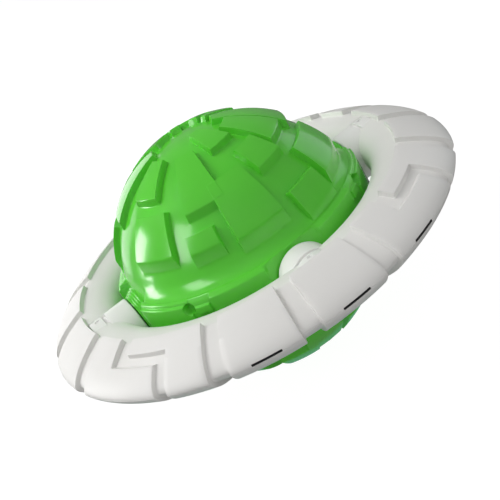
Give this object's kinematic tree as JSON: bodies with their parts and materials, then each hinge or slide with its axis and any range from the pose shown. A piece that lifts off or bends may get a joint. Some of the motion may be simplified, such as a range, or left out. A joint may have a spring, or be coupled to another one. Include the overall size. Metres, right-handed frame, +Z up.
{
  "type": "maze ball puzzle",
  "caption": "Relief-covered maze ball that tips on axle studs inside a thick saucer ring, with a marble running on maze trays inside.",
  "frame": {"origin": "middle of the flat foot under the ball, which is the lowest point, on the ball's polar axis", "axes": "+Z up through the ball's poles, +X along the two axle studs towards the right stud, -Y towards the front stud"},
  "size_m": [0.2, 0.1996, 0.1155],
  "materials": {
    "ring_white": "satin moulded white plastic",
    "stud_white": "smooth white plastic",
    "ball_green": "glossy bright green plastic",
    "maze_ivory": "satin ivory plastic",
    "ramp_amber": "glossy amber plastic",
    "screw_steel": "bright zinc-plated steel",
    "marble_steel": "polished steel"
  },
  "bodies": {
    "ring": {"ring_upper": "ring_white", "ring_lower": "ring_white", "ring_screws": "screw_steel", "stud_front": "stud_white", "stud_back": "stud_white", "stud_left": "stud_white", "stud_right": "stud_white", "axle_pin_left": "screw_steel", "axle_pin_right": "screw_steel"},
    "ball": {"dome_upper": "ball_green", "dome_lower": "ball_green", "collar": "ball_green", "shell_screws": "screw_steel", "axle_bush_left": "maze_ivory", "axle_bush_right": "maze_ivory", "hub_post": "maze_ivory", "hub_screw": "screw_steel", "tray_upper": "maze_ivory", "tray_middle": "maze_ivory", "tray_lower": "maze_ivory", "ramp_upper": "ramp_amber", "ramp_lower": "ramp_amber", "start_cup": "ramp_amber", "finish_cup": "ramp_amber"},
    "marble": {"marble": "marble_steel"}
  },
  "joints": [
    {"name": "ball_turn", "type": "hinge", "parent": "ring", "child": "ball", "pos_m": [0, 0, 0.0576], "axis": [1, 0, 0], "continuous": true},
    {"name": "marble_run", "type": "hinge", "parent": "ball", "child": "marble", "pos_m": [0, 0, 0.0419], "axis": [0, 0, 1], "range_deg": [-170, 170]}
  ]
}
